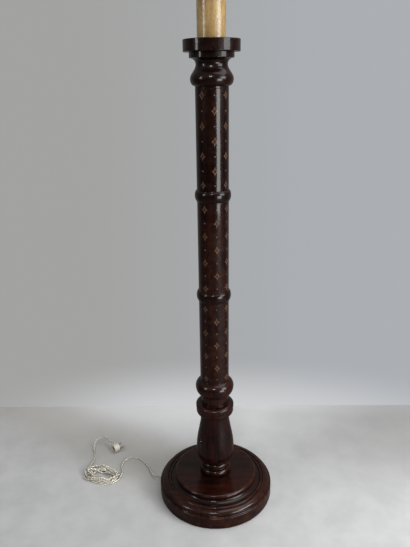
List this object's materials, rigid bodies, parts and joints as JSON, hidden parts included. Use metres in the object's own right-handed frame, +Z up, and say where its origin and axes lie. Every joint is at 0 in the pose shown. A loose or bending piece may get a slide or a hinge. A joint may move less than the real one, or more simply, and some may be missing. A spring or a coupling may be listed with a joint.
{
  "type": "floor lamp",
  "caption": "Turned and varnished wooden candlestick floor lamp: round stepped foot, knopped column, drip pan, plastic candle, screw lampholder, and a clear lead coiled beside it.",
  "frame": {"origin": "centre of the felt's underside, on the floor", "axes": "+Z up along the column; -Y the front that faced the camera; the lead leaves towards -X"},
  "size_m": [0.6151, 0.4078, 1.555],
  "materials": {
    "varnished_wood": "very dark mahogany stain under a high-gloss varnish, with small gilt stars on the column",
    "felt": "dark green felt, matt",
    "cover_board": "raw hardboard, matt",
    "cast_iron": "rough cast, unpainted",
    "zinc_steel": "zinc-plated, dull",
    "seat_wood": "raw turned wood, matt",
    "candle_plastic": "translucent cream-amber plastic, glossy and slightly mottled",
    "brass": "polished and lacquered",
    "porcelain": "white glazed porcelain",
    "black_plastic": "black moulded plastic, satin",
    "brown_plastic": "dark brown moulded plastic, satin",
    "clear_flex": "clear soft plastic over pale stranded wires, glossy",
    "white_plastic": "off-white moulded plastic, satin",
    "plated_pins": "nickel-plated pins"
  },
  "bodies": {
    "lamp": {"base_felt": "felt", "bottom_plate": "cover_board", "plate_screws": "zinc_steel", "base_plinth": "varnished_wood", "base_weight": "cast_iron", "weight_screws": "zinc_steel", "base_disc": "varnished_wood", "foot": "varnished_wood", "knop": "varnished_wood", "column_lower": "varnished_wood", "ring_lower": "varnished_wood", "column_middle": "varnished_wood", "ring_upper": "varnished_wood", "column_upper": "varnished_wood", "capital": "varnished_wood", "drip_pan": "varnished_wood", "candle_seat": "seat_wood", "candle_tube": "candle_plastic", "candle_cap": "brass", "threaded_tube": "zinc_steel", "bottom_washer": "zinc_steel", "bottom_nut": "zinc_steel", "top_washer": "zinc_steel", "top_nut": "zinc_steel", "holder_cap": "brass", "holder_sleeve": "brass", "porcelain_body": "porcelain", "screw_shell": "brass", "centre_contact": "brass", "terminal_screws": "brass", "switch_block": "black_plastic", "cord_bush": "clear_flex", "cord_clamp": "black_plastic", "clamp_screws": "zinc_steel", "inner_cord": "clear_flex", "cord_run": "clear_flex", "cord_coil": "clear_flex", "cord_tail": "clear_flex", "plug_body": "white_plastic", "plug_cover": "white_plastic", "plug_insert": "brown_plastic", "plug_screw": "brass", "plug_pins": "plated_pins", "plug_gland": "clear_flex"},
    "switch": {"switch_spindle": "brass", "switch_key": "brown_plastic"},
    "shade_ring": {"shade_ring": "brown_plastic"}
  },
  "joints": [
    {"name": "switch_turn", "type": "hinge", "parent": "lamp", "child": "switch", "pos_m": [0.02, 0, 1.511], "axis": [1, 0, 0], "continuous": true},
    {"name": "shade_ring_slide", "type": "slide", "parent": "lamp", "child": "shade_ring", "axis": [0, 0, 1], "range_m": [0, 0.0235]}
  ]
}
